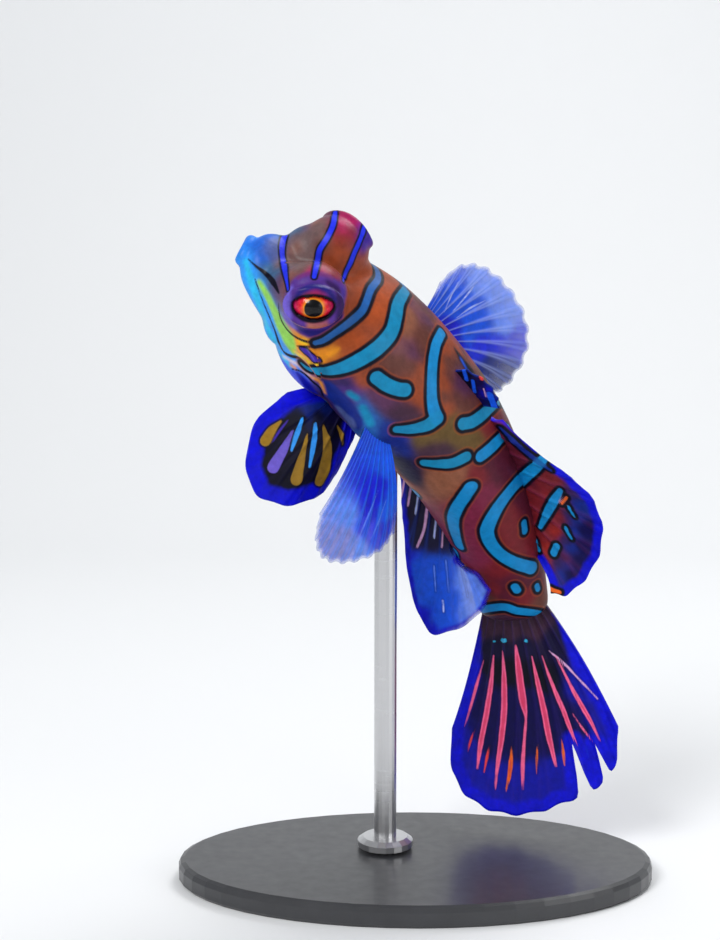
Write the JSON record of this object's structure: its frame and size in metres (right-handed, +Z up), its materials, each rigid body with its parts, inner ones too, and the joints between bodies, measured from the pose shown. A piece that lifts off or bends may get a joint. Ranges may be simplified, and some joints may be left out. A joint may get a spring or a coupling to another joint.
{
  "type": "mandarinfish display model",
  "caption": "Life-size mandarinfish in a bent swimming pose, fins spread, held on a round rod above an oval plate.",
  "frame": {"origin": "centre of the oval plate's underside", "axes": "+Z up out of the plate; +X to the right of the view in which the fish's left side faces the front, -Y"},
  "size_m": [0.044, 0.026, 0.0615],
  "materials": {
    "skin": "wet, smooth skin, orange brown with teal bands",
    "eye": "glossy red iris and black pupil",
    "fin": "satin membrane, deep blue",
    "clear_fin": "thin translucent membrane, pale blue",
    "stand_paint": "satin black paint",
    "stand_steel": "brushed"
  },
  "bodies": {
    "root": {"head": "skin", "torso": "skin", "tail": "skin", "eye_left": "eye", "eye_right": "eye", "caudal_fin": "fin", "first_dorsal_fin": "fin", "second_dorsal_fin": "fin", "anal_fin": "fin", "pectoral_fin_left": "clear_fin", "pectoral_fin_right": "clear_fin", "pelvic_fin_left": "fin", "pelvic_fin_right": "fin", "stand_base": "stand_paint", "stand_rod": "stand_steel"}
  },
  "joints": []
}
